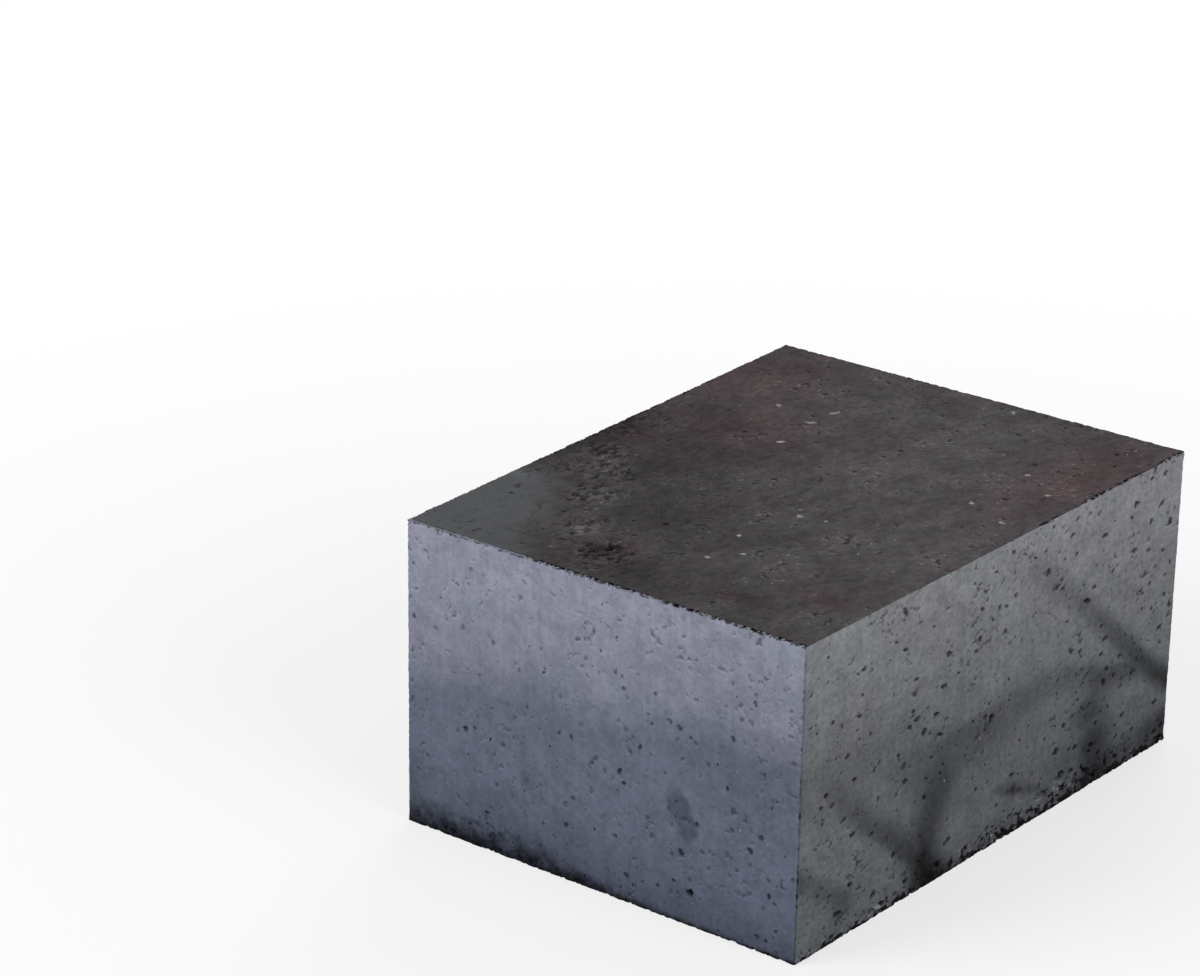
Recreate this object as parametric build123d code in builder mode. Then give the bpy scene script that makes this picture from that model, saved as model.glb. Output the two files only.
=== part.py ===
"""Magnesia-carbon key brick for a steel ladle's working lining.

One pressed and tempered piece. It lies on a bed face, with its length along Y and its two bed faces level.
Its flanks taper towards the hot face, so that a course of such bricks closes into a ring.
The origin is the centre of the lower bed face's bounding rectangle, +Z is up, and the hot face looks along -Y.
"""

import os

from build123d import *

# Driving dimensions, in millimetres
LENGTH = 200.0  # hot face to cold face, which is the thickness of the lining
HOT_FACE_WIDTH = 146.0  # across the narrow end, which meets the steel
COLD_FACE_WIDTH = 154.0  # across the wide end, which backs onto the safety lining
HEIGHT = 100.0  # bed face to bed face, the height of one course
CORNER_RADIUS = 1.5  # upright edges, rounded by the corners of the mould box
ARRIS_RADIUS = 0.6  # edges of the bed faces, left crisp by the press punches and worn by handling

os.makedirs("parts", exist_ok=True)

with BuildPart() as brick:
    # Plan of the brick: half the trapezium, mirrored about its centre line
    with BuildSketch(Plane.XY) as plan:
        with BuildLine() as outline:
            Polyline(
                (0, -LENGTH / 2),
                (HOT_FACE_WIDTH / 2, -LENGTH / 2),
                (COLD_FACE_WIDTH / 2, LENGTH / 2),
                (0, LENGTH / 2),
            )
            mirror(about=Plane.YZ)
        make_face()

    # The press stroke gives the height
    extrude(amount=HEIGHT)

    # The mould box rounds the upright edges, and wear rounds the edges of both bed faces
    fillet(brick.edges().filter_by(Axis.Z), radius=CORNER_RADIUS)
    fillet(brick.faces().filter_by(Axis.Z).edges(), radius=ARRIS_RADIUS)

brick.part.label = "brick"
export_step(brick.part, "parts/brick.step")
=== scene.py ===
"""Looks of the magnesia-carbon key brick: worn arrises, open pores, painted graphite sheen and brown bed
faces.

The brick's surface is one closed mesh that stands for the plain solid of the frame. It is made on a
straight block, in millimetres: each of the block's six faces is covered with points that are close
together at the edges, round the pores and where the face is rough, the points are joined into triangles,
and the last steps sink the pores, wear the edges and taper the block. What the materials need to know
about a point is kept in the mesh's attributes. A place on a face is given by how far along the face it
is, from the end with the lower X or Y, and how far below the face's upper edge, which on a bed face is
the edge of the cold end.
"""

import math

import bpy
import numpy as np
from mathutils import Matrix, Vector, noise
from mathutils.geometry import delaunay_2d_cdt


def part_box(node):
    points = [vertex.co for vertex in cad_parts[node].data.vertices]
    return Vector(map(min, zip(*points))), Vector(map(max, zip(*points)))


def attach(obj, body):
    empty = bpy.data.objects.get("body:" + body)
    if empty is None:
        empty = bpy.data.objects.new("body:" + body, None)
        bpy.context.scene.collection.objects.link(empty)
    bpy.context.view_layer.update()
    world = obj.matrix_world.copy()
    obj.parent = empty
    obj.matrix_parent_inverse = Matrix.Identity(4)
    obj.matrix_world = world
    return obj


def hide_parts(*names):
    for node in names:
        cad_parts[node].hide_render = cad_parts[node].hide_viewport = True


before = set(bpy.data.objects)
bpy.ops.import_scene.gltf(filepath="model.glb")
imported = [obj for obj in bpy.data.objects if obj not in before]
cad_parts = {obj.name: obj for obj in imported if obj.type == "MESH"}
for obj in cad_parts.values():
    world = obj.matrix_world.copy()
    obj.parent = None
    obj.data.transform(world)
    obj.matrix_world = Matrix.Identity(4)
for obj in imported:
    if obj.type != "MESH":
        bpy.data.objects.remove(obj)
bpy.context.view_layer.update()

# Sizes of the brick, in millimetres. Its length and height are the frame's
MM = 0.001
LOW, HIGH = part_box("brick")
LENGTH = (HIGH.y - LOW.y) / MM
HEIGHT = (HIGH.z - LOW.z) / MM
HOT_FACE_WIDTH = 146.0
COLD_FACE_WIDTH = 154.0
MEAN_WIDTH = (HOT_FACE_WIDTH + COLD_FACE_WIDTH) / 2
HALF = np.array([MEAN_WIDTH, LENGTH, HEIGHT]) / 2

# Axes of each face of the block: along it, up it, out of it, and the side that it is on
X, Y, Z = 0, 1, 2
FACES = {
    "hot": (X, Z, Y, -1),
    "cold": (X, Z, Y, 1),
    "right": (Y, Z, X, 1),
    "left": (Y, Z, X, -1),
    "top": (X, Y, Z, 1),
    "bottom": (X, Y, Z, -1),
}
BEDS = ("top", "bottom")
ENDS = ("hot", "cold")
END_SLOT, FLANK_SLOT, BED_SLOT = 0, 1, 2

# Wear of the edges, in millimetres: radii, depths of the notches, and depth of the pits in broken skin
CORNER_RADIUS = 1.0
ARRIS_RADIUS = 0.4
CRUMBLE_UPRIGHT = 0.3
CRUMBLE_TOP = 0.75
CRUMBLE_FOOT = 0.5
ROUGH_DEPTH = 0.4
# How far from a bed face the wear is that of an upright edge, and up to what height that of the foot
UPRIGHT_FROM = 3.0
LOW_UNTIL = 4.0
# How uneven a bed edge's radius is, how much less an upright one's, and its range of shares
RADIUS_UNEVEN = 0.9
UPRIGHT_EVEN = 0.6
RADIUS_SHARES = (0.3, 2.0)
# Where notches start to fade and are gone, in from an edge, and their further reach at the foot
NOTCH_FROM = 0.1
NOTCH_REACH = 0.9
FOOT_NOTCH_REACH = 0.8
# Spacing of the chips at the foot and elsewhere, their least reach, and the most on top of it
FOOT_CHIP_SPACING = 15
CHIP_SPACING = 24
CHIP_REACH = 0.4
CHIP_GROWTH = 0.8
# Share of that reach on an upright edge, what a distance along the edge counts for, and depth to reach
UPRIGHT_CHIP = 0.7
CHIP_ALONG = 0.6
CHIP_DEPTH = 0.75
# Where broken skin's pits have their full depth, and where a face sags, and how deep
PITS_FROM = 0.8
SAG_REACH = (3.0, 12.0)
SAG_DEPTH = 0.1
# How far in from an edge its colour is worn, and the reach and strength of the line on an upright edge
EDGE_REACH = 2.0
LINE_REACH = (0.2, 0.9)
LINE_STRENGTH = 0.3
# Depth of wear at which the colour is wholly that of broken skin
BROKEN_AT = 0.6
# Where along Y the right flank's upper edge, sound beside the hot face, starts to be worn and fully is
SOUND_UNTIL = (-8.0, 14.0)
# Share of the depth and of the colour of wear that a sound stretch is spared
SOUND_DEPTH = 0.7
SOUND_COLOUR = 0.8

# Noise that the wear follows: the size of its lumps in millimetres, and its seed
LUMPS = (2.2, 1)
FINE_LUMPS = (1.1, 2)
CHIP_RIMS = (1.1, 5)
SAGS = (60.0, 7)
SKIN_BORDERS = (6.0, 12)
PORE_CROWDS = (11.0, 13)
# Strength of the fine lumps, of the raggedness of chips and of that of broken skin's borders
FINE_SHARE = 0.7
RIM_SHARE = 0.8
BORDER_SHARE = 0.5
# Patches of wear: size, seed, mean, strength, and least and largest value
WORN_PATCHES = (11.0, 3, 0.6, 1.0, 0.1, 1.2)
NOTCHES = (1.15, 4, 0.0, 2.4, 0.0, 1.0)
SKIN_PITS = (1.9, 6, 0.35, 1.3, 0.0, 1.0)
SOUND_PATCHES = (16.0, 8, 0.35, 1.5, 0.0, 0.9)
# How far the noise of one seed lies from that of the next
SEED_SHIFT = np.array([17.3, 5.1, 9.7])
# Seed of all random draws
SEED = 7

# Spacing of the mesh's points, in millimetres: along the edges, in the middle, in broken skin and on pores
EDGE_STEP = 0.5
FILL_STEP = 2.7
ROUGH_STEP = 1.1
PORE_STEP = 0.45
# Rows of points beside the edges: how far in, and their spacing
EDGE_ROWS = ((0.3, 0.5), (0.7, 0.6), (1.3, 0.95), (2.3, 1.5))
# How broken the skin is where the closer points start
ROUGH_FROM = 0.2
# How far points are shaken, as a share of their spacing, in those rows and in the middle
ROW_SHAKE = 0.12
FILL_SHAKE = 0.22
# How far the middle's points stay from the rows and from pores, as a share of their spacing
FILL_MARGIN = 0.6
FILL_ROOM = 0.25
# How far other points stay from a pore, as a share of its radius, and the rows' points beyond that
PORE_BERTH = 1.1
ROW_ROOM = 0.08
# Angle in degrees from which an edge between triangles is sharp
SHARP_ANGLE = 42

# Pores of each face: how many, their least and largest radius in millimetres, how strongly they show at
# most, and a power that makes most of them faint, where skin has partly closed over them
PORES = {
    "hot": (320, 0.45, 1.4, 0.74, 2.2),
    "cold": (220, 0.45, 1.6, 0.9, 1.8),
    "right": (380, 0.42, 1.7, 1.0, 1.4),
    "left": (420, 0.4, 2.0, 1.0, 1.1),
    "top": (110, 0.4, 1.3, 1.0, 1.5),
    "bottom": (150, 0.4, 1.4, 1.0, 1.3),
}
# How strongly the smallest and the widest chosen pores show, and any other at least
CLEAR_SHOW = {"hot": (0.35, 1.0), "right": (0.75, 1.0), "top": (0.4, 0.9)}
LEAST_SHOW = 0.12
# A power that makes most pores small, and the least room between two of them
SMALL_POWER = 2.4
PORE_ROOM = 0.35
# Chance that a pore is kept, and what noise, the foot of a side and a dark mark add to it
KEPT = 0.35
KEPT_BY_NOISE = 1.5
KEPT_AT_FOOT = 0.8
KEPT_IN_DARK_MARK = 0.3
# Heights between which a foot's pores become fewer and smaller
FOOT_PORES = (3, 16)
# How much larger pores are at the foot of a side
FOOT_GROWTH = 0.4
# How flat pores are at least and at most, on a flank, where they lie along it, and on the other faces
FLANK_FLAT = (0.5, 0.72)
OTHER_FLAT = (0.78, 1.0)
# How far a flank's pores are turned at most, in radians
FLANK_TURN = 0.4
# Points on a pore's outline at least and at most, and how far they are shaken along it
PORE_POINTS = (6, 15)
POINT_SHAKE = 0.25
# A pore's mean size, how oval it is and how ragged, and its depth, as shares of its radius
PORE_MEAN = 0.9
PORE_OVAL = 0.12
PORE_RAGGED = (-0.34, 0.14)
PORE_DEPTH = (0.4, 0.8)

# The clearest pores of the faces in view: place and radius
CHOSEN_PORES = {
    "hot": (
        (132.9, 22.2, 1.3), (96.6, 29.6, 1.2), (84.8, 31.2, 1.2), (84.1, 27.5, 1.0), (105.9, 37.5, 1.4),
        (102.1, 36.5, 1.2), (2.9, 30.6, 1.2), (65.1, 52.6, 1.3), (60.6, 52.5, 1.1), (83.7, 58.0, 1.4),
        (23.6, 62.0, 1.5), (63.6, 81.9, 1.3), (111.0, 89.0, 1.8), (107.3, 77.0, 1.5), (104.0, 78.5, 1.1),
        (116.6, 46.0, 1.1), (91.4, 48.0, 1.3), (88.6, 45.6, 1.1), (85.8, 44.0, 1.0), (66.2, 72.3, 1.1),
        (25.5, 9.4, 1.1), (20.2, 63.6, 1.0), (27.2, 60.6, 1.2), (34.5, 30.7, 1.2), (53.2, 27.4, 1.1),
        (69.0, 28.5, 1.0), (111.7, 27.0, 1.1), (124.5, 18.2, 1.0), (128.2, 28.5, 1.1), (8.2, 75.2, 1.1),
        (32.2, 87.3, 1.3), (87.0, 91.0, 1.3), (132.7, 68.6, 1.4), (139.5, 75.9, 1.2), (117.7, 78.8, 1.1),
        (48.0, 47.9, 1.0), (54.7, 83.9, 1.1), (24.7, 14.2, 1.0),
    ),
    "right": (
        (28.8, 16.5, 1.7), (44.6, 13.5, 1.3), (49.6, 17.4, 1.8), (88.1, 26.9, 1.8), (88.5, 17.5, 1.6),
        (98.0, 20.0, 1.7), (56.9, 42.2, 2.0), (53.5, 43.5, 1.6), (54.6, 38.8, 1.4), (60.9, 47.6, 2.0),
        (67.0, 44.0, 2.0), (22.5, 41.5, 1.7), (12.3, 50.4, 1.8), (10.3, 53.5, 1.4), (96.5, 56.0, 2.3),
        (26.3, 68.0, 1.8), (136.5, 8.8, 1.6), (155.4, 14.8, 2.0), (173.0, 9.6, 2.0), (188.0, 14.0, 2.0),
        (193.8, 21.5, 1.8), (173.6, 25.4, 2.0), (124.0, 17.0, 2.0), (147.3, 34.0, 2.4), (140.0, 48.5, 2.0),
        (145.0, 50.3, 1.6), (159.0, 50.6, 2.0), (192.0, 57.5, 2.0), (138.0, 73.0, 1.7), (134.4, 80.6, 2.3),
        (138.0, 89.8, 2.8), (172.8, 81.5, 2.0), (192.0, 83.8, 2.0), (76.0, 89.0, 2.6), (37.9, 92.0, 2.3),
        (26.0, 84.0, 2.0), (62.5, 69.5, 1.6), (14.5, 28.2, 1.4), (27.6, 30.8, 1.4), (55.5, 28.8, 1.8),
        (70.5, 36.0, 2.0), (72.2, 26.5, 2.0), (69.5, 51.5, 1.7), (26.5, 50.3, 1.7), (52.0, 60.5, 2.0),
        (182.5, 18.5, 1.6), (182.0, 28.0, 1.7), (150.8, 30.4, 1.6), (157.6, 55.4, 1.7), (169.0, 59.8, 1.8),
        (160.0, 65.8, 2.0), (152.5, 93.5, 2.6), (144.0, 90.5, 2.0), (145.4, 83.0, 1.8), (155.0, 85.5, 1.8),
        (169.5, 88.0, 1.8), (20.0, 91.0, 2.2), (54.5, 94.0, 2.0), (86.0, 95.2, 2.0), (110.0, 93.5, 2.2),
        (150.0, 91.5, 1.4), (154.0, 87.5, 1.4), (157.0, 78.8, 1.4), (159.5, 75.5, 1.1), (163.5, 75.5, 1.1),
        (168.8, 83.8, 1.0), (193.0, 94.5, 1.6), (113.5, 80.5, 0.9), (127.0, 87.0, 0.9), (128.0, 92.0, 1.0),
        (132.0, 95.0, 1.4), (112.0, 92.0, 0.9), (113.0, 69.0, 0.9), (144.0, 63.8, 1.0), (142.0, 82.5, 1.1),
        (10.0, 81.5, 1.0), (46.5, 90.0, 1.0), (42.0, 96.3, 1.4), (49.0, 96.0, 1.4), (61.0, 90.0, 1.1),
        (95.0, 95.8, 1.6), (97.5, 92.8, 1.4), (96.5, 77.0, 0.9), (94.5, 70.5, 0.9), (120.0, 96.0, 1.7),
        (189.0, 4.0, 1.7), (181.0, 3.6, 1.4), (190.9, 30.8, 1.4), (195.5, 36.2, 1.4), (193.0, 39.8, 1.1),
        (132.6, 25.1, 1.5), (139.6, 15.8, 1.3), (161.3, 28.6, 1.3), (184.0, 40.0, 1.4), (179.0, 41.0, 1.1),
        (180.4, 47.4, 1.3), (186.3, 49.4, 1.3), (193.3, 46.7, 1.4), (95.1, 7.7, 1.2), (103.8, 4.0, 1.4),
        (138.6, 4.0, 1.6), (156.6, 45.5, 1.3), (102.2, 87.0, 1.2), (106.0, 96.4, 1.5), (116.0, 93.8, 1.3),
        (100.5, 93.6, 1.3), (147.5, 95.5, 1.8), (139.5, 95.0, 1.6), (159.5, 90.0, 1.6), (164.0, 94.0, 1.6),
    ),
    "top": (
        (82.8, 57.2, 1.4), (103.2, 37.0, 1.2), (121.0, 40.0, 1.4), (135.4, 16.0, 1.5), (129.5, 40.5, 1.2),
        (138.3, 63.0, 1.3), (126.0, 54.0, 1.2), (70.6, 12.0, 1.2), (11.1, 163.0, 1.4), (63.3, 152.8, 1.6),
        (67.4, 147.4, 1.1), (83.2, 128.2, 1.4), (61.5, 178.5, 2.0), (56.0, 185.0, 1.7), (66.5, 184.0, 1.5),
        (28.0, 155.5, 1.6), (33.0, 164.5, 1.4), (45.5, 176.0, 1.5), (64.0, 117.0, 1.1), (77.0, 99.0, 1.0),
    ),
}

# Pale grains bared on the faces in view: place and radius
CHOSEN_GRAINS = {
    "top": (
        (48.3, 43.5, 1.9), (47.6, 55.0, 2.2), (50.0, 75.0, 2.0), (30.7, 49.0, 1.4), (90.5, 122.5, 1.6),
        (99.0, 120.5, 1.1), (92.0, 6.4, 1.7), (124.2, 80.0, 1.4), (124.2, 49.0, 1.5), (139.4, 87.5, 1.4),
        (138.0, 59.6, 1.3), (85.6, 146.2, 1.2), (88.5, 165.4, 1.4), (95.0, 157.0, 1.2),
    ),
    "right": ((100.0, 96.5, 0.8),),
}
# Further grains of each face, their least and largest radius, and how pale any grain is
LOOSE_GRAINS = {"hot": 6, "cold": 8, "right": 10, "left": 12, "top": 40, "bottom": 50}
LOOSE_RADII = (0.25, 0.6)
GRAIN_PALE = (0.45, 1.0)
# Points on a grain's outline, and how far they are shaken along it
GRAIN_POINTS = 7
GRAIN_SHAKE = 0.3
# A grain's length and width, how ragged it is, and where it is wholly pale, as shares of its radius
GRAIN_LENGTH = 1.3
GRAIN_WIDTH = 0.8
GRAIN_RAGGED = (0.5, 1.1)
GRAIN_RING = 0.6

# Soft marks: strength, place, and reach across and down. Warm is a brown tint; skin is smooth, and painted
# paler as a painted reflection; dark marks on the right flank are painted reflections
SPOTS = {
    "top": {
        "skin_and_reflection": ((1.0, 2, 180, 34, 40), (1.0, 19, 197, 28, 22)),
        "warm": ((0.8, 12, 34, 24, 34), (0.7, 34, 72, 34, 26), (0.9, 140, 40, 18, 40), (0.9, 135, 169, 9, 5),
                 (0.9, 115, 184, 7, 4), (0.7, 61, 181, 13, 9), (0.7, 10, 100, 12, 16)),
        "dark_mark_and_reflection": ((0.66, 0, 104, 20, 34), (0.36, 28, 112, 30, 40), (0.36, 56, 146, 30, 28),
                  (0.38, 72, 188, 44, 14), (0.35, 116, 183, 8, 6), (0.25, 135, 170, 9, 5),
                  (0.35, 107, 93.5, 3.5, 2.5), (0.6, 60, 182, 10, 7), (0.08, 12, 14, 26, 24)),
        "pale": ((0.7, 98, 70, 34, 50), (0.8, 77, 50, 22, 22), (0.7, 130, 112, 24, 40),
                 (0.5, 64, 28, 40, 26), (1.0, 2, 149, 5, 4)),
        "rough": ((1.0, 10, 118, 13, 9), (1.0, 22, 131, 14, 11), (0.9, 31, 149, 10, 13),
                  (0.8, 45, 170, 9, 14), (1.0, 62, 183, 14, 12), (0.7, 3, 96, 10, 20)),
    },
    "bottom": {
        "warm": ((0.5, 36, 66, 50, 44), (0.4, 112, 150, 46, 44)),
        "dark_mark_and_reflection": ((0.2, 130, 110, 44, 50), (0.2, 50, 24, 44, 30)),
        "pale": ((0.4, 60, 120, 50, 44),),
    },
    "hot": {
        "dark_mark_and_reflection": ((0.18, 132, 46, 20, 14), (0.3, 0, 86, 8, 8), (0.14, 50, 43, 14, 7),
                  (0.25, 47.8, 72.6, 2.2, 1.8), (0.16, 68, 90, 32, 8)),
    },
    "cold": {"dark_mark_and_reflection": ((0.15, 100, 46, 40, 16), (0.12, 26, 70, 34, 16))},
    # The right flank's strongest dark marks go with its strokes: painted reflections of dark things in front
    # of the brick
    "right": {
        "dark_mark_and_reflection": ((0.70, 153, 74, 12, 9), (0.90, 156, 86, 12, 11), (0.96, 157, 97, 12, 12),
                  (0.26, 28, 47, 36, 13), (0.20, 108, 68, 36, 12), (0.24, 60, 52, 24, 9),
                  (0.42, 140, 86, 13, 10), (0.30, 22, 90, 7, 7), (0.36, 62, 66, 12, 10),
                  (0.24, 115, 83, 12, 7), (0.20, 180, 86, 22, 9), (0.26, 60, 79, 9, 9),
                  (0.16, 50, 71, 9, 7), (0.18, 87, 76, 14, 9), (0.30, 101, 97, 10, 6),
                  (0.97, 66, 97, 9, 7)),
    },
    "left": {"dark_mark_and_reflection": ((0.25, 44, 84, 34, 16), (0.2, 150, 90, 40, 14), (0.15, 104, 44, 44, 22))},
}

# Soft dark strokes: on the right flank painted reflections of dark things in front of the brick, on the hot
# face a small mark. Each point has its place, strength, and reach to either side
STROKES = {
    "right": (
        ((15, 52, 0.22, 6, 3), (29, 65, 0.50, 6, 3), (44, 77, 0.62, 6, 2.4), (56.5, 87.5, 0.76, 6.5, 2.6),
         (72, 101, 0.97, 6, 4.5)),
        ((78, 60, 0.42, 9, 9), (72, 69, 0.64, 8, 10), (66, 80, 0.66, 7, 9), (63, 90, 0.90, 7, 8),
         (66, 100, 0.98, 7, 7)),
        ((50, 58, 0.18, 7, 8), (72, 58, 0.42, 6, 12), (88, 56, 0.46, 4.5, 12), (110, 53, 0.38, 4, 10),
         (130, 53.5, 0.30, 4, 7), (145, 58, 0.36, 4, 5), (160, 63.5, 0.58, 4, 4.5), (182, 68, 0.60, 4, 4)),
        ((106, 9, 0.05, 4, 4), (118, 15, 0.22, 5, 5), (130, 23, 0.30, 5, 5), (149, 38, 0.42, 4.5, 4),
         (162, 49, 0.54, 4.5, 3.8), (178, 62.5, 0.72, 4, 4), (190, 72, 0.84, 4, 4), (201, 80, 0.96, 4.5, 4)),
        ((-1, 72, 0.42, 3.5, 4.5), (12, 80, 0.38, 3.5, 4.5), (24, 88, 0.32, 3, 4.5)),
        ((102, 82, 0.5, 1.2, 1.2), (111, 85.0, 0.95, 1.9, 1.6), (121, 88.5, 0.5, 1.3, 1.3),
         (131, 93, 0.3, 1.2, 1.2)),
        ((162, 93, 0.40, 4, 8), (182, 94, 0.54, 4.5, 8), (201, 92, 0.86, 6, 9)),
    ),
    "hot": (((106, 63, 0.4, 4.2, 4.2), (109.2, 68.6, 0.4, 4.2, 4.2)),),
}
# How fast a stroke fades out at its sides. The mark on the hot face has a clear outline instead
STROKE_FALLOFF = 3
CLEAR_OUTLINE = ("hot",)
OUTLINE_STEP = (0.2, 0.5)

# Height that the dark foot of each side, painted shade with black crumbs, fades out at, at even steps along
# it, in millimetres
FOOT = {
    "hot": (13.0, 11.0, 12.0, 6.0, 2.5, 2.0, 2.0),
    "cold": (3.0, 4.0, 9.0, 6.0, 3.0),
    "right": (3.0, 4.0, 5.5, 7.0, 8.0, 11.0, 9.0, 7.0),
    "left": (4.0, 8.0, 5.0, 3.5, 7.0, 5.0),
}
# How far the painted sheen, the paler upper part of each side, reaches down at its two ends, as a share of
# the height
PAINTED_SHEEN_REACH = {"hot": (0.10, -0.06), "cold": (-0.04, 0.08), "right": (-0.08, 0.08), "left": (0.06, -0.06)}


def slot_of(face):
    if face in ENDS:
        return END_SLOT
    return BED_SLOT if face in BEDS else FLANK_SLOT


def half_of(face):
    along, up = FACES[face][:2]
    return np.array([HALF[along], HALF[up]])


def spot_on(face, across, down):
    """A place on a face as a point measured from the face's middle."""
    half = half_of(face)
    return np.array([across - half[0], half[1] - down])


def place_on(face, uv):
    """Points of a face, measured from its middle, as points of the block."""
    along, up, outward, side = FACES[face]
    points = np.empty((len(uv), 3))
    points[:, along] = uv[:, 0]
    points[:, up] = uv[:, 1]
    points[:, outward] = side * HALF[outward]
    return points


def noise_at(points, size, seed):
    """Smooth noise from about -0.6 to 0.6 with lumps of this size in millimetres, at each point."""
    return np.array([noise.noise(Vector(p)) for p in points / size + SEED_SHIFT * seed])


def patches(points, size, seed, mean, strength, least, largest):
    """Noise with this mean and strength, kept between two values, at each point."""
    return np.clip(mean + strength * noise_at(points, size, seed), least, largest)


def smooth_step(low, high, value):
    share = np.clip((value - low) / (high - low), 0, 1)
    return share * share * (3 - 2 * share)


# Marks on the faces

def spots(face, kind, uv):
    """How strongly the spots of one kind mark each point of a face, from 0 to 1."""
    found = np.zeros(len(uv))
    for strength, across, down, reach_across, reach_down in SPOTS.get(face, {}).get(kind, ()):
        away = (uv - spot_on(face, across, down)) / (reach_across, reach_down)
        found = np.maximum(found, strength * np.exp(-(away**2).sum(axis=1)))
    return found


def strokes(face, uv):
    """How strongly the strokes mark each point of a face, from 0 to 1."""
    found = np.zeros(len(uv))
    for route in STROKES.get(face, ()):
        for start, end in zip(route[:-1], route[1:]):
            origin = spot_on(face, *start[:2])
            run = spot_on(face, *end[:2]) - origin
            away = uv - origin
            share = np.clip(away @ run / (run @ run), 0, 1)
            at_start = np.array(start[2:])[:, None]
            at_end = np.array(end[2:])[:, None]
            strength, left, right = at_start * (1 - share) + at_end * share
            reach = np.where(run[0] * away[:, 1] > run[1] * away[:, 0], left, right)
            beside = np.linalg.norm(away - share[:, None] * run, axis=1)
            mark = np.exp(-((beside / reach) ** STROKE_FALLOFF))
            if face in CLEAR_OUTLINE:
                mark = smooth_step(*OUTLINE_STEP, mark)
            found = np.maximum(found, strength * mark)
    return found


def dark_marks_and_reflections(face, uv):
    return 1 - (1 - strokes(face, uv)) * (1 - spots(face, "dark_mark_and_reflection", uv))


def foot(face, uv):
    """How far each point of a side is within its dark foot of painted shade, from 1 at the lower edge to 0.
    """
    if face not in FOOT:
        return np.zeros(len(uv))
    half = half_of(face)
    steps = np.linspace(-half[0], half[0], len(FOOT[face]))
    return np.clip(1 - (uv[:, 1] + half[1]) / np.interp(uv[:, 0], steps, FOOT[face]), 0, 1)


def painted_sheen_reach(face, uv):
    """How far the painted sheen reaches down at each point of a side, with 0.5 for level."""
    first, last = PAINTED_SHEEN_REACH.get(face, (-0.5, -0.5))
    share = uv[:, 0] / (2 * half_of(face)[0]) + 0.5
    return 0.5 + first + (last - first) * share


def roughness(face, uv):
    """How broken the skin is at each point of a face, from 0 to 1."""
    patch = spots(face, "rough", uv)
    if patch.any():
        border = BORDER_SHARE * noise_at(place_on(face, uv), *SKIN_BORDERS)
        patch = smooth_step(0.3, 0.8, patch + border)
    return np.maximum(patch, foot(face, uv) ** 2)


# Points on a face

def edge_loop(half, inset, step):
    """Points round a rectangle that lies this far inside a face's edges, spaced evenly along each side."""
    sides = []
    corners = (half - inset) * np.array([(-1, -1), (1, -1), (1, 1), (-1, 1)])
    for start, end in zip(corners, np.roll(corners, -1, axis=0)):
        count = max(1, round(np.linalg.norm(end - start) / step))
        share = np.arange(count) / count
        sides.append(start + share[:, None] * (end - start))
    return np.concatenate(sides)


def fill_points(half, step, rng):
    """A shaken triangular grid over the middle of a face."""
    reach = half - EDGE_ROWS[-1][0] - FILL_MARGIN * step
    points = []
    for number, v in enumerate(np.arange(-reach[1], reach[1], step * math.sqrt(3) / 2)):
        u = np.arange(-reach[0] + (number % 2) * step / 2, reach[0], step)
        points.append(np.stack([u, np.full(len(u), v)], axis=1))
    points = np.concatenate(points)
    return points + rng.uniform(-FILL_SHAKE, FILL_SHAKE, points.shape) * step


def scatter(face, rng, count, least, largest, found):
    """Adds round places to those found, clear of each other and of the edges, thicker in some parts."""
    half = half_of(face)
    room = EDGE_ROWS[1][0]
    wanted = len(found) + count
    while len(found) < wanted:
        radius = least + (largest - least) * rng.random() ** SMALL_POWER
        middle = rng.uniform(room - half, half - room)
        chance = KEPT + KEPT_BY_NOISE * noise_at(place_on(face, middle[None]), *PORE_CROWDS)[0]
        if face in FOOT:
            low = 1 - smooth_step(*FOOT_PORES, middle[1] + half[1])
            chance += KEPT_AT_FOOT * low + KEPT_IN_DARK_MARK * dark_marks_and_reflections(face, middle[None])[0]
            radius *= 1 + FOOT_GROWTH * low
        else:
            chance *= 1 - roughness(face, middle[None])[0]
        inside = (half - np.abs(middle)).min() > radius + room
        gaps = [math.hypot(middle[0] - u, middle[1] - v) - radius - r for u, v, r in found]
        if inside and rng.random() < chance and (not gaps or min(gaps) > PORE_ROOM):
            found.append((*middle, radius))
    return found


def chosen(face, places):
    """Places given on a face, with their radii, as measured from its middle."""
    return [(*spot_on(face, across, down), radius) for across, down, radius in places]


def turned(angle):
    """What points of a face, as rows, are multiplied by to turn them by this angle."""
    return np.array([[math.cos(angle), math.sin(angle)], [-math.sin(angle), math.cos(angle)]])


# Rings of a pore: share of its radius, of its depth and of its darkness
PORE_RINGS = ((1.0, 0.0, 0.0), (0.74, 0.7, 0.9), (0.36, 1.0, 1.0))


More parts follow.
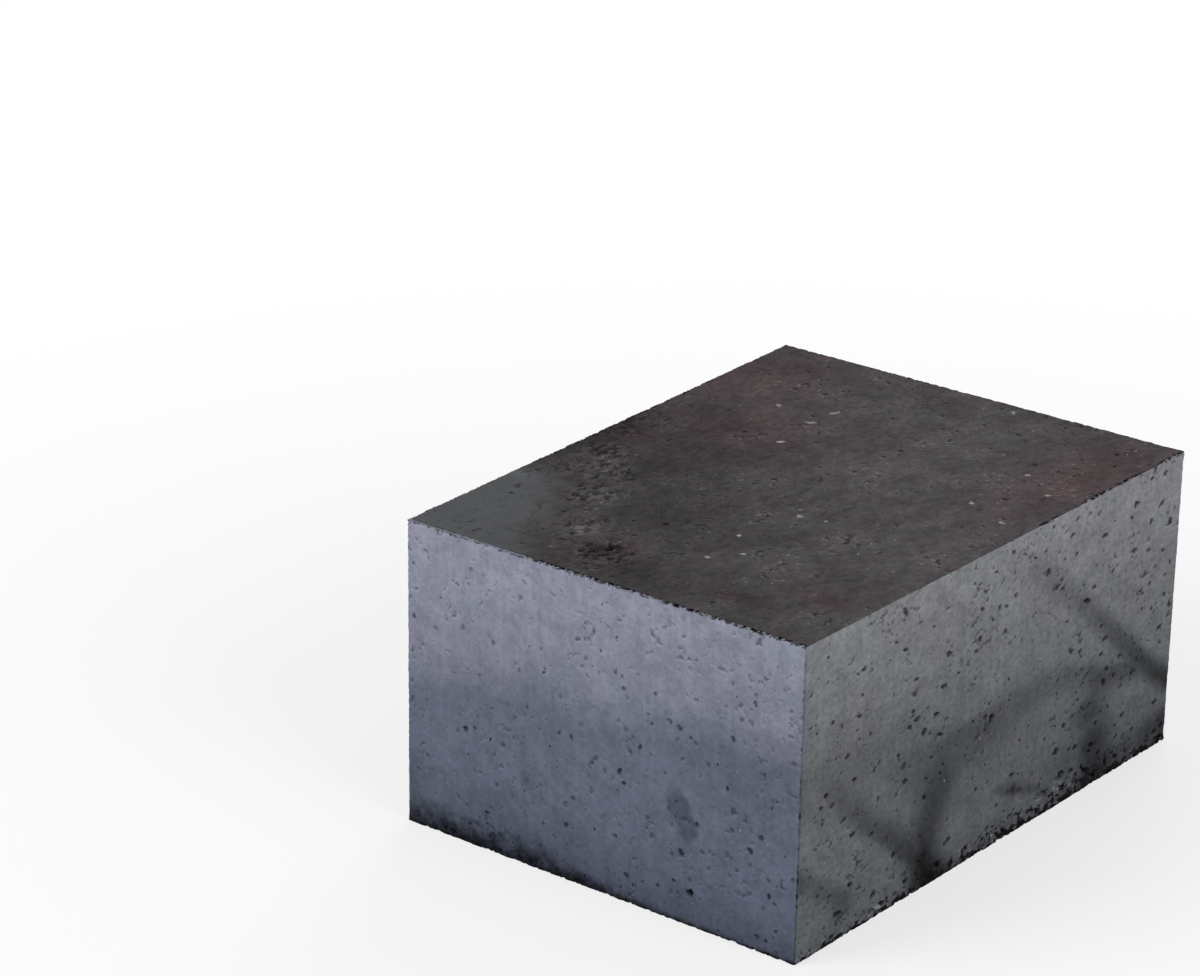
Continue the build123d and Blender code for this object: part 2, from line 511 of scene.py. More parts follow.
def pore_points(face, pores, shows, rng):
    """Points on the rings of each pore, how deep each is, and how dark."""
    points, facts = [], []
    on_flank = slot_of(face) == FLANK_SLOT
    flat, most_turn = (FLANK_FLAT, FLANK_TURN) if on_flank else (OTHER_FLAT, math.pi)
    for (u, v, radius), show in zip(pores, shows):
        count = int(np.clip(round(2 * math.pi * radius / PORE_STEP), *PORE_POINTS))
        shake = rng.uniform(-POINT_SHAKE, POINT_SHAKE, count)
        angle = (np.arange(count) + shake) / count * 2 * math.pi
        outline = PORE_MEAN + PORE_OVAL * np.cos(2 * angle + rng.uniform(0, 2 * math.pi))
        outline = outline + rng.uniform(*PORE_RAGGED, count)
        ring = np.stack([np.cos(angle), np.sin(angle) * rng.uniform(*flat)], axis=1)
        turn = rng.uniform(-1, 1) * most_turn
        ring = radius * outline[:, None] * ring @ turned(turn)
        depth = radius * rng.uniform(*PORE_DEPTH) * show
        for size, deep, dark in PORE_RINGS:
            here = ring if size > 0.5 else ring[::2]
            points.append((u, v) + here * size)
            facts.append(np.tile((depth * deep, show * dark, 0.0), (len(here), 1)))
        points.append(np.array([(u, v)]))
        facts.append(np.array([(depth, show, 0.0)]))
    return np.concatenate(points), np.concatenate(facts)


def grain_points(grains, rng):
    """Points on the rings of each pale grain, which lie level with the face."""
    points, facts = [], []
    for u, v, radius in grains:
        shake = rng.uniform(-GRAIN_SHAKE, GRAIN_SHAKE, GRAIN_POINTS)
        angle = (np.arange(GRAIN_POINTS) + shake) / GRAIN_POINTS * 2 * math.pi
        ring = np.stack([GRAIN_LENGTH * np.cos(angle), GRAIN_WIDTH * np.sin(angle)], axis=1)
        ring = radius * rng.uniform(*GRAIN_RAGGED, GRAIN_POINTS)[:, None] * ring
        ring = ring @ turned(rng.uniform(0, math.pi))
        points.append((u, v) + np.concatenate([ring, GRAIN_RING * ring, np.zeros((1, 2))]))
        rim = [(0.0, 0.0, 0.0)] * GRAIN_POINTS
        middle = [(0.0, 0.0, 1.0)] * (GRAIN_POINTS + 1)
        facts.append(np.array(rim + middle) * rng.uniform(*GRAIN_PALE))
    return np.concatenate(points), np.concatenate(facts)


def clear_of(points, places, room):
    """Which points lie outside every one of these places, by this much."""
    keep = np.ones(len(points), bool)
    for u, v, radius in places:
        keep &= np.hypot(points[:, 0] - u, points[:, 1] - v) > radius * PORE_BERTH + room
    return keep


def cover_face(face, rng):
    """A face's points, measured from its middle, its triangles, and what is known of each point."""
    half = half_of(face)
    count, least, largest, most_show, faint = PORES[face]
    clear = chosen(face, CHOSEN_PORES.get(face, ()))
    pores = scatter(face, rng, count, least, largest, clear.copy())
    shows = LEAST_SHOW + (most_show - LEAST_SHOW) * rng.random(len(pores)) ** faint
    if clear:
        radii = np.array([radius for u, v, radius in clear])
        shows[:len(clear)] = np.interp(radii, (radii.min(), radii.max()), CLEAR_SHOW[face])
    both = pores + chosen(face, CHOSEN_GRAINS.get(face, ()))
    both = scatter(face, rng, LOOSE_GRAINS[face], *LOOSE_RADII, both)
    in_pores, pore_facts = pore_points(face, pores, shows, rng)
    on_grains, grain_facts = grain_points(both[len(pores):], rng)

    plain = [edge_loop(half, 0.0, EDGE_STEP)]
    for inset, step in EDGE_ROWS:
        loop = edge_loop(half, inset, step)
        loop = loop + rng.uniform(-ROW_SHAKE, ROW_SHAKE, loop.shape) * min(step, inset)
        plain.append(loop[clear_of(loop, both, ROW_ROOM)])
    coarse = fill_points(half, FILL_STEP, rng)
    fine = fill_points(half, ROUGH_STEP, rng)
    coarse = coarse[roughness(face, coarse) < ROUGH_FROM]
    fine = fine[roughness(face, fine) >= ROUGH_FROM]
    plain.append(coarse[clear_of(coarse, both, FILL_ROOM * FILL_STEP)])
    plain.append(fine[clear_of(fine, both, FILL_ROOM * ROUGH_STEP)])
    plain = np.concatenate(plain)

    uv = np.concatenate([plain, in_pores, on_grains])
    sunk, dark, pale = np.concatenate([np.zeros((len(plain), 3)), pore_facts, grain_facts]).T
    known = {
        "sunk": sunk,
        "pore": dark,
        "grain": pale,
        "dark_mark_and_reflection": dark_marks_and_reflections(face, uv),
        "foot_shade_and_crumbs": foot(face, uv),
        "painted_sheen_reach": painted_sheen_reach(face, uv),
        "rough": roughness(face, uv),
        "skin_and_reflection": spots(face, "skin_and_reflection", uv),
        "warm": spots(face, "warm", uv),
        "pale": spots(face, "pale", uv),
    }
    joined, origins = delaunay_2d_cdt([Vector(p) for p in uv], [], [], 0, 1e-6)[2:4]
    source = np.array([origin[0] for origin in origins])
    triangles = source[np.array(joined)]
    along, up, outward, side = FACES[face]
    if np.cross(np.eye(3)[along], np.eye(3)[up])[outward] * side < 0:
        triangles = triangles[:, ::-1]
    return uv, triangles, known


# Wear of the block

def chips(rng):
    """Chips broken out of the edges: place, reach in millimetres, and the axis of the edge."""
    found = []
    for axis in (X, Y, Z):
        first, second = [other for other in (X, Y, Z) if other != axis]
        for first_side in (-1, 1):
            for second_side in (-1, 1):
                at_foot = axis != Z and second_side < 0
                spacing = FOOT_CHIP_SPACING if at_foot else CHIP_SPACING
                for _ in range(round(2 * HALF[axis] / spacing)):
                    place = np.zeros(3)
                    place[axis] = rng.uniform(-1, 1) * (HALF[axis] - CORNER_RADIUS)
                    place[first] = first_side * HALF[first]
                    place[second] = second_side * HALF[second]
                    reach = CHIP_REACH + CHIP_GROWTH * rng.random() ** 2
                    reach *= UPRIGHT_CHIP if axis == Z else 1.0
                    found.append((place, reach, axis))
    return found


def worn(points, sunk, rough, rng):
    """The block's points with worn edges and sunk pores, how broken each is, and how near an edge."""
    gaps = HALF - np.abs(points)
    gap = np.sort(gaps, axis=1)[:, 1]
    upright = smooth_step(0.0, UPRIGHT_FROM, gaps[:, Z])
    low = 1 - smooth_step(0.0, LOW_UNTIL, points[:, Z] + HALF[Z])

    lumps = noise_at(points, *LUMPS) + FINE_SHARE * noise_at(points, *FINE_LUMPS)
    shares = np.clip(1 + (RADIUS_UNEVEN - UPRIGHT_EVEN * upright) * lumps, *RADIUS_SHARES)
    radius = (ARRIS_RADIUS + (CORNER_RADIUS - ARRIS_RADIUS) * upright) * shares
    crumble = CRUMBLE_TOP + (CRUMBLE_UPRIGHT - CRUMBLE_TOP) * upright + (CRUMBLE_FOOT - CRUMBLE_TOP) * low
    notches = patches(points, *NOTCHES) * patches(points, *WORN_PATCHES)
    loss = crumble * notches * (1 - smooth_step(NOTCH_FROM, NOTCH_REACH + FOOT_NOTCH_REACH * low, gap))

    ragged = 1 + RIM_SHARE * noise_at(points, *CHIP_RIMS)
    for place, reach, axis in chips(rng):
        away = points - place
        away[:, axis] *= CHIP_ALONG
        loss = np.maximum(loss, CHIP_DEPTH * (reach * ragged - np.linalg.norm(away, axis=1)))
    at_end = gaps[:, Y] < gaps[:, X]
    at_hot_face = at_end & (points[:, Y] < 0)
    on_flank_edge = ~at_end & (points[:, X] > 0) & (points[:, Z] > 0)
    sound = patches(points, *SOUND_PATCHES) * ~at_hot_face
    sound = np.maximum(sound, on_flank_edge * (1 - smooth_step(*SOUND_UNTIL, points[:, Y])))
    loss *= 1 - SOUND_DEPTH * sound
    pitted = ROUGH_DEPTH * rough * patches(points, *SKIN_PITS)
    pitted *= smooth_step(0.0, PITS_FROM, gap)
    sag = SAG_DEPTH * (1 + noise_at(points, *SAGS)) * smooth_step(*SAG_REACH, gap)

    core = np.clip(points, radius[:, None] - HALF, HALF - radius[:, None])
    out = points - core
    out /= np.linalg.norm(out, axis=1)[:, None]
    shaped = core + out * (radius - np.maximum(loss, pitted) - sag - sunk)[:, None]
    line = LINE_STRENGTH * upright * (1 - smooth_step(*LINE_REACH, gap))
    near = (1 - np.clip(gap / EDGE_REACH, 0, 1)) * (1 - SOUND_COLOUR * sound)
    return shaped, np.clip(loss / BROKEN_AT + line, 0, 1), near


def tapered(points):
    """Points of the block as the brick has them, in metres: narrower at the hot face, standing on its bed."""
    share = points[:, Y] / LENGTH + 0.5
    width = HOT_FACE_WIDTH + (COLD_FACE_WIDTH - HOT_FACE_WIDTH) * share
    placed = points.copy()
    placed[:, X] *= width / MEAN_WIDTH
    placed[:, Z] += HEIGHT / 2
    return np.clip(placed * MM, LOW, HIGH)


# The mesh

# Where each face lies on the map for baked pictures, in millimetres from the map's corner
MAP_GAP = 4.0
MAP_SIDE = 2 * LENGTH + 3 * MAP_GAP
MAP_PLACES = {
    "top": (0.0, 0.0),
    "bottom": (MEAN_WIDTH + MAP_GAP, 0.0),
    "right": (0.0, LENGTH + MAP_GAP),
    "hot": (LENGTH + MAP_GAP, LENGTH + MAP_GAP),
    "left": (0.0, LENGTH + HEIGHT + 2 * MAP_GAP),
    "cold": (LENGTH + MAP_GAP, LENGTH + HEIGHT + 2 * MAP_GAP),
}


def brick_mesh():
    """All six faces, joined along their edges and worn, with their materials, attributes and map."""
    rng = np.random.default_rng(SEED)
    points, triangles, slots, corners, known = [], [], [], [], []
    for face in FACES:
        uv, found, facts = cover_face(face, rng)
        triangles.append(found + sum(map(len, points)))
        points.append(place_on(face, uv))
        slots.append(np.full(len(found), slot_of(face), np.int32))
        corners.append(((uv + half_of(face) + MAP_PLACES[face] + MAP_GAP / 2) / MAP_SIDE)[found])
        known.append(facts)
    points = np.concatenate(points)
    _, first, joined = np.unique(points.round(4), axis=0, return_index=True, return_inverse=True)
    points, joined = points[first], joined.reshape(-1)
    triangles = joined[np.concatenate(triangles)]
    values = {name: np.zeros(len(points)) for name in known[0]}
    for name, value in values.items():
        np.maximum.at(value, joined, np.concatenate([facts[name] for facts in known]))
    shaped, values["broken"], values["edge"] = worn(points, values.pop("sunk"), values["rough"], rng)

    mesh = bpy.data.meshes.new("pressed_brick")
    mesh.from_pydata(tapered(shaped).tolist(), [], triangles.tolist())
    mesh.polygons.foreach_set("material_index", np.concatenate(slots))
    mesh.polygons.foreach_set("use_smooth", np.ones(len(triangles), bool))
    for name, value in values.items():
        mesh.attributes.new(name, "FLOAT", "POINT").data.foreach_set("value", value.astype(np.float32))
    layer = mesh.uv_layers.new(name="OFBake")
    layer.uv.foreach_set("vector", np.concatenate(corners).astype(np.float32).ravel())
    mesh.update()
    mesh.set_sharp_from_angle(angle=math.radians(SHARP_ANGLE))
    return mesh


# Materials

# Range that most of a noise node's values lie in
NOISE_RANGE = (0.3, 0.7)


class Nodes:
    """A material's nodes, made by short calls that return the output to link on. Sizes are in millimetres."""

    def __init__(self, name):
        self.material = bpy.data.materials.new(name)
        self.material.use_nodes = True
        self.tree = self.material.node_tree
        self.tree.nodes.clear()
        scaled = self.add("ShaderNodeVectorMath", operation="SCALE")
        self.feed(scaled.inputs[0], self.add("ShaderNodeTexCoord").outputs["Object"])
        scaled.inputs["Scale"].default_value = 1 / MM
        self.place = scaled.outputs[0]

    def add(self, kind, **settings):
        node = self.tree.nodes.new(kind)
        for name, value in settings.items():
            setattr(node, name, value)
        return node

    def feed(self, socket, value):
        if isinstance(value, bpy.types.NodeSocket):
            self.tree.links.new(value, socket)
        else:
            socket.default_value = value

    def math(self, operation, first, second=0.0):
        node = self.add("ShaderNodeMath", operation=operation)
        self.feed(node.inputs[0], first)
        self.feed(node.inputs[1], second)
        return node.outputs[0]

    def remap(self, value, low, high, to_low=0.0, to_high=1.0):
        node = self.add("ShaderNodeMapRange", interpolation_type="SMOOTHSTEP")
        for socket, number in zip(node.inputs, (value, low, high, to_low, to_high)):
            self.feed(socket, number)
        return node.outputs[0]

    def mix(self, share, first, second, blend="MIX"):
        node = self.add("ShaderNodeMix", data_type="RGBA", blend_type=blend)
        for number, value in ((0, share), (6, first), (7, second)):
            self.feed(node.inputs[number], value)
        return node.outputs[2]

    def attribute(self, name):
        return self.add("ShaderNodeAttribute", attribute_name=name).outputs["Fac"]

    def height(self):
        node = self.add("ShaderNodeSeparateXYZ")
        self.feed(node.inputs[0], self.place)
        return node.outputs["Z"]

    def stretched(self, factors):
        node = self.add("ShaderNodeVectorMath", operation="MULTIPLY")
        self.feed(node.inputs[0], self.place)
        node.inputs[1].default_value = factors
        return node.outputs[0]

    def shifted(self, offset):
        node = self.add("ShaderNodeVectorMath", operation="ADD")
        self.feed(node.inputs[0], self.place)
        node.inputs[1].default_value = offset
        return node.outputs[0]

    def noise(self, size, detail=2.0, rough=0.5, place=None):
        node = self.add("ShaderNodeTexNoise")
        self.feed(node.inputs["Vector"], place or self.place)
        node.inputs["Scale"].default_value = 1 / size
        node.inputs["Detail"].default_value = detail
        node.inputs["Roughness"].default_value = rough
        return node.outputs["Fac"]

    def spread(self, value, low, high):
        """Noise, spread out from low to high."""
        return self.remap(value, *NOISE_RANGE, low, high)

    def flecks(self, size, start, width, place=None):
        """Small ragged flecks of this size, thicker in some places than in others.

        A lower start gives more of them, and a greater width softer ones.
        """
        crowd = self.math("MULTIPLY", self.math("SUBTRACT", self.noise(13.0, 2.0), 0.5), 0.35)
        value = self.math("ADD", self.noise(size, 2.5, 0.6, place), crowd)
        return self.remap(value, start, start + width)

    def pits(self, size, start, width, lip):
        """Dark flecks, and how far each point lies on the painted highlight of the lip beside one, from 0 to
        1.
        """
        pits = self.flecks(size, start, width)
        beside = self.flecks(size, start, width, self.shifted(lip))
        return pits, self.math("MAXIMUM", self.math("SUBTRACT", beside, pits), 0.0)

    def ramp(self, value, stops):
        node = self.add("ShaderNodeValToRGB")
        self.feed(node.inputs[0], value)
        points = node.color_ramp.elements
        for number, (place, colour) in enumerate(stops):
            point = points[number] if number < 2 else points.new(place)
            point.position = place
            point.color = (*colour, 1.0)
        return node.outputs["Color"]

    def shade(self, colour, value):
        """The colour, made darker or lighter by a value round 1."""
        node = self.add("ShaderNodeCombineColor")
        for socket in node.inputs:
            self.feed(socket, value)
        return self.mix(1.0, colour, node.outputs[0], "MULTIPLY")

    def bump(self, height, distance, below=None):
        node = self.add("ShaderNodeBump")
        node.inputs["Distance"].default_value = distance * MM
        self.feed(node.inputs["Height"], height)
        if below is not None:
            self.feed(node.inputs["Normal"], below)
        return node.outputs[0]

    def finish(self, colour, roughness, normal, shine):
        shader = self.add("ShaderNodeBsdfPrincipled")
        self.feed(shader.inputs["Base Color"], colour)
        self.feed(shader.inputs["Roughness"], roughness)
        self.feed(shader.inputs["Normal"], normal)
        shader.inputs["Specular IOR Level"].default_value = shine
        output = self.add("ShaderNodeOutputMaterial")
        self.feed(output.inputs["Surface"], shader.outputs[0])
        return self.material


# Colours of hollows, of pale grains, of the painted highlight on worn edges and of the brown tint
PIT_BLACK = (0.0015, 0.0015, 0.002, 1.0)
GRAIN_WHITE = (0.36, 0.35, 0.34, 1.0)
WORN_EDGE_HIGHLIGHT = (0.20, 0.21, 0.25, 1.0)
WARM_BROWN = (0.072, 0.047, 0.050, 1.0)
# How much the sides and the bed faces shine
SIDE_SHINE = 0.02
BED_SHINE = 0.03
# Where light grains take their pattern from, away from that of the dark ones, in millimetres
GRAIN_SHIFT = (40.0, 70.0, 20.0)
# How far the painted highlight on the lip of a small pit lies below it, on a side, or in front of it, on a
# bed face
SIDE_LIP = (0.0, 0.0, 0.7)
BED_LIP = (0.0, 0.5, 0.0)
# Where the black crumbs of a foot start
CRUMB_FROM = 0.24


def add_foot(n, colour, darkest, uneven, softness, light):
    """The dark foot of a side: a mottled painted shade down to the darkest one, black crumbs and lighter
    grains.
    """
    foot_shade_and_crumbs = n.attribute("foot_shade_and_crumbs")
    border = n.remap(foot_shade_and_crumbs, 0.0, 0.3)
    # Painted shade, darkest at the lower edge, with a mottled border
    mottle = n.math("MULTIPLY", n.spread(n.noise(5.0, 4.0, 0.65), -uneven, uneven), border)
    colour = n.shade(colour, n.remap(n.math("ADD", foot_shade_and_crumbs, mottle), 0.0, 1.0, 1.0, darkest))
    at_edge = n.math("MULTIPLY", n.math("POWER", foot_shade_and_crumbs, 4.0), 0.45)
    at_edge = n.math("ADD", n.math("MULTIPLY", foot_shade_and_crumbs, 0.25), at_edge)
    crumbs = n.math("ADD", at_edge, n.spread(n.noise(2.3, 3.0, 0.65), 0.45, -0.45))
    crumbs = n.math("MULTIPLY", n.remap(crumbs, CRUMB_FROM, CRUMB_FROM + softness), border)
    colour = n.mix(crumbs, colour, PIT_BLACK)
    grains = n.flecks(1.7, 0.56, 0.1, n.shifted(GRAIN_SHIFT))
    grains = n.math("MULTIPLY", grains, n.remap(foot_shade_and_crumbs, 0.05, 0.35, 0.0, light))
    return n.shade(colour, n.math("ADD", grains, 1.0))


def add_damage(n, colour, pits, depth):
    """Dark pits, broken edges and pores, and pale grains, over a colour."""
    colour = n.mix(n.math("MULTIPLY", pits, depth), colour, PIT_BLACK)
    colour = n.mix(n.remap(n.attribute("broken"), 0.05, 0.7, 0.0, 0.85), colour, PIT_BLACK)
    ragged = n.remap(n.noise(1.4, 2.0, 0.6), 0.35, 0.55, 0.7, 1.0)
    colour = n.mix(n.math("MULTIPLY", n.attribute("pore"), ragged), colour, PIT_BLACK)
    return n.mix(n.math("MULTIPLY", n.attribute("grain"), ragged), colour, GRAIN_WHITE)


def edge_teeth(n, depth):
    """1 in the small notches along the edges, which reach this far in as a share of the edge's reach."""
    ragged = n.remap(n.noise(1.3, 2.0, 0.6), 0.35, 0.65, -0.35, 0.35)
    ragged = n.math("ADD", n.attribute("edge"), ragged)
    return n.remap(ragged, 1.0 - depth, 1.1 - depth)


def side_material(name, stops, tints, pits, grains, drawn_out, foot_shade):
    """A side pressed against the mould's wall: graphite sheen painted in as paler colour higher up, faint
    upright streaks, pores and a dark foot of painted shade.

    Pits are given by size, start and depth, and grains by the strength of the fine and the coarse ones.
    The marks are drawn out by this much along the brick. The foot has the darkest of its painted shade, how
    uneven that is, the softness of its crumbs and how much lighter its grains are.
    """
    n = Nodes(name)
    n.place = n.stretched((1.0, 1 / drawn_out, 1.0))
    up = n.math("DIVIDE", n.height(), HEIGHT)
    # Painted sheen and shade: the colour ramps from dark low down to pale high up, with a clouded, sloping
    # border
    cloud = n.math("MULTIPLY", n.math("SUBTRACT", n.noise(30.0, 3.0), 0.5), 0.16)
    slope = n.math("MULTIPLY", n.math("SUBTRACT", n.attribute("painted_sheen_reach"), 0.5), n.remap(up, 0.1, 0.6))
    colour = n.ramp(n.math("ADD", n.math("ADD", up, cloud), slope), stops)
    tint = n.ramp(n.noise(24.0, 2.0), ((0.35, tints[0]), (0.65, tints[1])))
    colour = n.mix(1.0, colour, tint, "MULTIPLY")
    pit_size, pit_start, pit_depth = pits
    dark, painted_lip_highlights = n.pits(pit_size, pit_start, 0.2, SIDE_LIP)
    fine, coarse = grains
    grain = n.noise(1.6, 3.0, 0.65)
    drawn = n.noise(2.0, 2.0, 0.5, n.stretched((1.0, 1.0, 0.08)))
    shade = n.math("ADD", n.spread(grain, 1 - fine, 1 + fine), n.spread(drawn, -0.04, 0.04))
    shade = n.math("ADD", shade, n.spread(n.noise(6.0, 3.0, 0.6), -coarse, coarse))
    # Painted highlights on the lips of the pits
    shade = n.math("ADD", shade, n.math("MULTIPLY", painted_lip_highlights, 0.3))
    colour = n.shade(colour, shade)
    # Dark marks: on the right flank painted reflections of dark things in front of the brick
    wisps = n.spread(n.noise(6.0, 4.0, 0.6), 0.86, 1.0)
    dark_mark_and_reflection = n.math("MULTIPLY", n.attribute("dark_mark_and_reflection"), wisps)
    colour = n.shade(colour, n.math("SUBTRACT", 1.0, dark_mark_and_reflection))
    colour = add_damage(n, add_foot(n, colour, *foot_shade), dark, pit_depth)
    level = n.remap(n.math("ABSOLUTE", n.math("SUBTRACT", up, 0.5)), 0.47, 0.485, 0.0, 0.7)
    colour = n.mix(n.math("MULTIPLY", edge_teeth(n, 0.08), level), colour, PIT_BLACK)
    roughness = n.spread(n.noise(3.0, 3.0), 0.42, 0.6)
    normal = n.bump(grain, 0.1)
    normal = n.bump(n.math("SUBTRACT", 1.0, dark), 0.2, normal)
    return n.finish(colour, roughness, normal, SIDE_SHINE)


def end_material():
    # Colours by height, paler higher up: painted sheen and painted shade. The ends are painted paler than the
    # flanks, partly as painted light from the key lamp in front
    stops = (
        (0.0, (0.066, 0.076, 0.108)),
        (0.12, (0.094, 0.107, 0.149)),
        (0.3, (0.112, 0.126, 0.172)),
        (0.55, (0.118, 0.132, 0.178)),
        (0.70, (0.190, 0.198, 0.252)),
        (1.0, (0.238, 0.248, 0.312)),
    )
    tints = ((0.98, 1.008, 1.0), (1.02, 0.992, 1.005))
    foot_shade = (0.16, 0.2, 0.8, 0.25)
    return side_material("end_face", stops, tints, (3.0, 0.58, 0.55), (0.10, 0.10), 1.0, foot_shade)


def flank_material():
    # Colours by height, paler higher up: painted sheen and painted shade
    stops = (
        (0.0, (0.100, 0.106, 0.118)),
        (0.2, (0.110, 0.116, 0.128)),
        (0.5, (0.126, 0.132, 0.144)),
        (0.72, (0.154, 0.158, 0.171)),
        (1.0, (0.196, 0.200, 0.215)),
    )
    tints = ((0.985, 1.006, 0.99), (1.012, 0.998, 1.004))
    foot_shade = (0.75, 0.35, 0.2, 0.9)
    return side_material("flank", stops, tints, (3.0, 0.58, 0.8), (0.16, 0.12), 1.3, foot_shade)


def bed_shade(n, mottle, rough, painted_lip_highlights):
    """How light a bed face is at each point: mottled, with painted highlights on lips and painted glints, and
    uneven where it is broken.
    """
    shade = n.math("ADD", n.spread(mottle, 0.78, 1.22), n.spread(n.noise(13.0, 3.0, 0.6), -0.18, 0.18))
    uneven = n.spread(n.noise(2.2, 3.0, 0.7), -0.6, 0.6)
    shade = n.math("ADD", shade, n.math("MULTIPLY", uneven, rough))
    shade = n.math("ADD", shade, n.math("MULTIPLY", painted_lip_highlights, 0.9))
    grains = n.flecks(1.9, 0.56, 0.1, n.shifted(GRAIN_SHIFT))
    shade = n.math("ADD", shade, n.math("MULTIPLY", grains, n.math("MULTIPLY", rough, 0.5)))
    # Painted glints
    painted_glints = n.flecks(1.5, 0.63, 0.1)
    return n.math("ADD", shade, n.math("MULTIPLY", painted_glints, 0.8))


def bed_material():
    """A face under the press punch: matte, dark brown, mottled, with pale grains, and smooth patches painted
    paler as a painted reflection.
    """
    n = Nodes("bed")
    n.place = n.stretched((1.0, 0.65, 1.0))
    colour = n.ramp(n.noise(6.0, 4.0, 0.7), (
        (0.32, (0.069, 0.057, 0.058)),
        (0.5, (0.061, 0.056, 0.058)),
        (0.68, (0.057, 0.059, 0.060)),
    ))
    colour = n.mix(n.math("MULTIPLY", n.attribute("warm"), 0.8), colour, WARM_BROWN)
    mottle = n.noise(2.2, 4.0, 0.7)
    rough = n.attribute("rough")
    pits, painted_lip_highlights = n.pits(2.6, 0.58, 0.2, BED_LIP)
    colour = n.shade(colour, bed_shade(n, mottle, rough, painted_lip_highlights))
    border = n.math("MULTIPLY", n.math("SUBTRACT", n.noise(9.0, 4.0, 0.65), 0.5), 0.9)
    skin_and_reflection = n.remap(n.math("ADD", n.attribute("skin_and_reflection"), border), 0.3, 0.7)
    skin_and_reflection = n.math("MULTIPLY", skin_and_reflection, n.remap(rough, 0.0, 1.0, 1.0, 0.3))
    # Painted reflection: the smooth skin is painted a paler, bluer grey
    skin_reflection_colour = n.ramp(n.noise(4.0, 3.0, 0.6), (
        (0.3, (0.064, 0.070, 0.070)),
        (0.7, (0.082, 0.086, 0.096)),
    ))
    colour = n.mix(n.math("MULTIPLY", skin_and_reflection, 0.85), colour, skin_reflection_colour)
    pale = n.math("ADD", n.math("MULTIPLY", n.attribute("pale"), 0.3), 1.0)
    colour = n.shade(colour, n.math("SUBTRACT", pale, n.attribute("dark_mark_and_reflection")))
    colour = add_damage(n, colour, pits, 0.7)
    dots = n.remap(n.noise(2.0, 2.0, 0.6), 0.46, 0.54)
    dots = n.math("MULTIPLY", n.remap(n.attribute("edge"), 0.2, 0.5), dots)
    colour = n.mix(n.math("MULTIPLY", dots, 0.95), colour, PIT_BLACK)
    # Worn edge teeth with a painted highlight
    colour = n.mix(n.math("MULTIPLY", edge_teeth(n, 0.16), 0.85), colour, WORN_EDGE_HIGHLIGHT)
    # A painted highlight along the edge of the smooth skin
    rim = n.math("MULTIPLY", n.remap(n.attribute("edge"), 0.35, 0.7, 0.0, 0.65), skin_and_reflection)
    colour = n.mix(rim, colour, WORN_EDGE_HIGHLIGHT)
    roughness = n.remap(skin_and_reflection, 0.0, 1.0, 0.85, 0.6)
    return n.finish(colour, roughness, n.bump(mottle, 0.3), BED_SHINE)


def build_brick():
    brick = bpy.data.objects.new("pressed_brick", brick_mesh())
    bpy.context.scene.collection.objects.link(brick)
    for material in (end_material(), flank_material(), bed_material()):
        brick.data.materials.append(material)
    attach(brick, "root")
    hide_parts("brick")


# Stage, light and camera

FLOOR_REACH = 6.0
FLOOR_WHITE = 0.85
# Share of plain white in the floor as it is seen, beside the brick and from this far out, in metres
NEAR_WHITE = 0.65
FAR_WHITE_FROM, FAR_WHITE_AT = 0.15, 0.55
WORLD_LIGHT = 0.54


def either(tree, sockets):
    """An output that is 1 where any of these outputs is."""
    found = sockets[0]
    for socket in sockets[1:]:
        node = tree.nodes.new("ShaderNodeMath")
        node.operation = "MAXIMUM"
        tree.links.new(found, node.inputs[0])
        tree.links.new(socket, node.inputs[1])
        found = node.outputs[0]
    return found


def seen_directly(tree):
    """An output that is 1 for what the camera sees, in a mirror or through glass too."""
    path = tree.nodes.new("ShaderNodeLightPath")
    return either(tree, [path.outputs[f"Is {kind} Ray"] for kind in ("Camera", "Glossy", "Transmission")])


def floor_material():
    """White paint, seen with more and more plain white away from the brick, so that its shadow stays."""
    material = bpy.data.materials.new("floor")
    material.use_nodes = True
    tree = material.node_tree
    tree.nodes.clear()
    distance = tree.nodes.new("ShaderNodeVectorMath")
    distance.operation = "LENGTH"
    tree.links.new(tree.nodes.new("ShaderNodeTexCoord").outputs["Object"], distance.inputs[0])
    fade = tree.nodes.new("ShaderNodeMapRange")
    fade.interpolation_type = "SMOOTHSTEP"
    for socket, number in zip(fade.inputs[1:], (FAR_WHITE_FROM, FAR_WHITE_AT, NEAR_WHITE, 1.0)):
        socket.default_value = number
    tree.links.new(distance.outputs["Value"], fade.inputs[0])
    share = tree.nodes.new("ShaderNodeMath")
    share.operation = "MULTIPLY"
    tree.links.new(fade.outputs[0], share.inputs[0])
    tree.links.new(seen_directly(tree), share.inputs[1])
    paint = tree.nodes.new("ShaderNodeBsdfDiffuse")
    paint.inputs["Color"].default_value = (FLOOR_WHITE, FLOOR_WHITE, FLOOR_WHITE, 1.0)
    mixed = tree.nodes.new("ShaderNodeMixShader")
    tree.links.new(share.outputs[0], mixed.inputs[0])
    tree.links.new(paint.outputs[0], mixed.inputs[1])
    tree.links.new(tree.nodes.new("ShaderNodeEmission").outputs[0], mixed.inputs[2])
    output = tree.nodes.new("ShaderNodeOutputMaterial")
    tree.links.new(mixed.outputs[0], output.inputs["Surface"])
    return material


def build_floor():
    mesh = bpy.data.meshes.new("floor")
    corners = [(x * FLOOR_REACH, y * FLOOR_REACH, 0) for x, y in ((-1, -1), (1, -1), (1, 1), (-1, 1))]
    mesh.from_pydata(corners, [], [(0, 1, 2, 3)])
    mesh.materials.append(floor_material())
    floor = bpy.data.objects.new("floor", mesh)
    bpy.context.scene.collection.objects.link(floor)


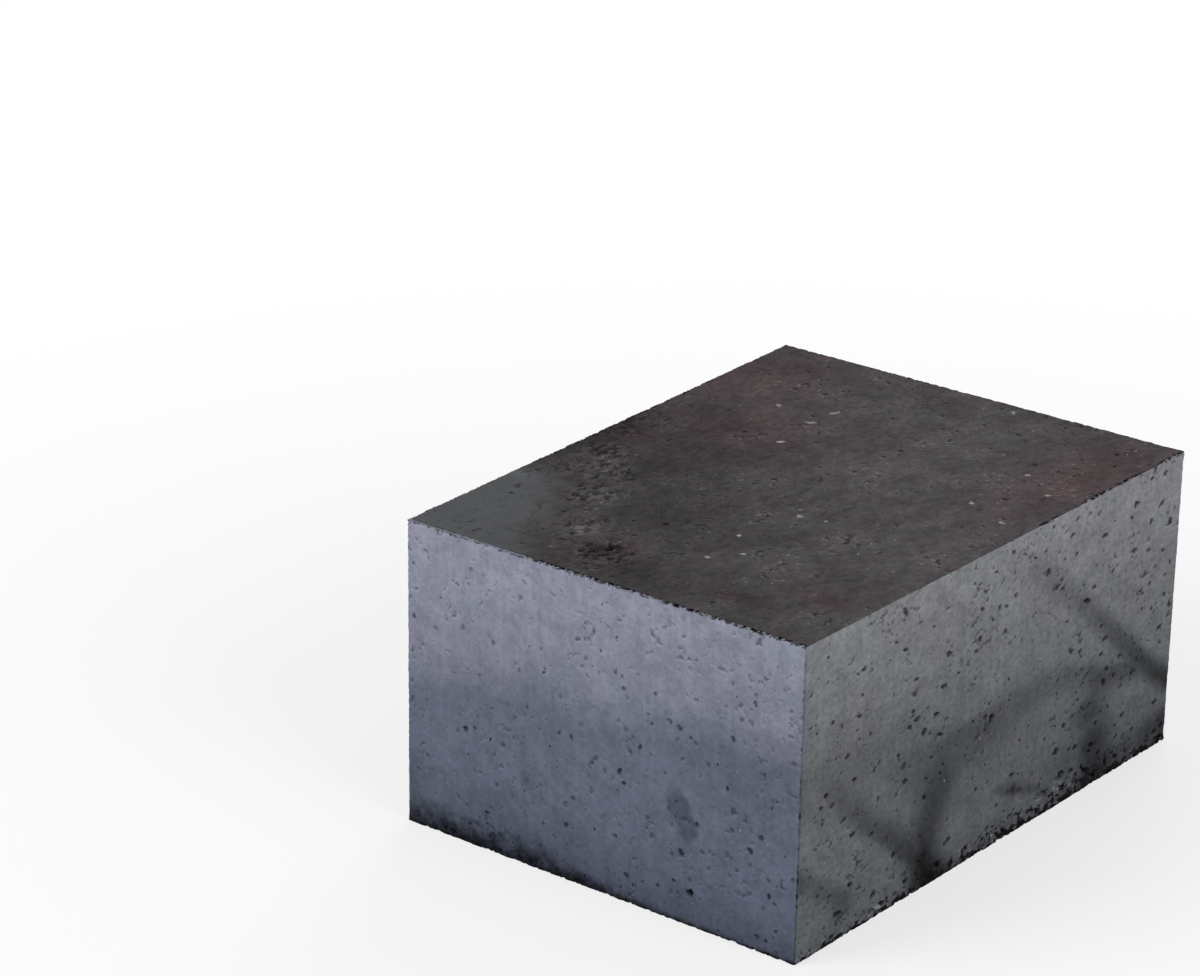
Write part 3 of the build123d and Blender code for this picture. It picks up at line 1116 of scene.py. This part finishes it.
def build_world():
    """White where it is seen, and a plain soft fill where it lights."""
    world = bpy.data.worlds.new("studio")
    bpy.context.scene.world = world
    world.use_nodes = True
    tree = world.node_tree
    tree.nodes.clear()
    strength = tree.nodes.new("ShaderNodeMapRange")
    strength.inputs["To Min"].default_value = WORLD_LIGHT
    strength.inputs["To Max"].default_value = 1.0
    tree.links.new(seen_directly(tree), strength.inputs["Value"])
    light = tree.nodes.new("ShaderNodeBackground")
    tree.links.new(strength.outputs["Result"], light.inputs["Strength"])
    output = tree.nodes.new("ShaderNodeOutputWorld")
    tree.links.new(light.outputs[0], output.inputs["Surface"])


# Soft lamps: place and side length in metres, and power in watts
LAMPS = {
    "key": ((-1.0, -1.6, 1.3), 1.2, 26.0),
    "fill": ((1.8, -0.3, 1.0), 1.2, 19.0),
    "back": ((-0.6, 1.7, 1.3), 1.2, 12.0),
}


def build_lamps():
    target = Vector((0, 0, HEIGHT / 2 * MM))
    for name, (place, side, power) in LAMPS.items():
        lamp = bpy.data.lights.new(name, "AREA")
        lamp.shape = "SQUARE"
        lamp.size = side
        lamp.energy = power
        holder = bpy.data.objects.new(name, lamp)
        bpy.context.scene.collection.objects.link(holder)
        holder.location = place
        holder.rotation_euler = (target - Vector(place)).to_track_quat("-Z", "Y").to_euler()


# Viewpoint of the reference in metres, its direction in degrees, and its lens and sensor in millimetres
CAMERA_PLACE = (0.63657, -0.92058, 0.54270)
CAMERA_AZIMUTH = 37.809
CAMERA_ELEVATION = 21.729
CAMERA_ROLL = -0.836
CAMERA_LENS = 120.05
CAMERA_SENSOR = 36.0
# How much wider the lens is, for a margin below the brick
CAMERA_MARGIN = 1.02


def build_camera():
    azimuth, elevation, roll = map(math.radians, (CAMERA_AZIMUTH, CAMERA_ELEVATION, CAMERA_ROLL))
    data = bpy.data.cameras.new("camera")
    data.sensor_width = CAMERA_SENSOR
    data.lens = CAMERA_LENS / CAMERA_MARGIN
    data.clip_start = 0.01
    camera = bpy.data.objects.new("camera", data)
    bpy.context.scene.collection.objects.link(camera)
    turn = Matrix.Rotation(azimuth, 4, "Z") @ Matrix.Rotation(math.pi / 2 - elevation, 4, "X")
    camera.matrix_world = Matrix.Translation(CAMERA_PLACE) @ turn @ Matrix.Rotation(-roll, 4, "Z")
    bpy.context.scene.camera = camera


build_brick()
build_floor()
build_world()
build_lamps()
build_camera()
bpy.context.scene.view_settings.view_transform = "Standard"
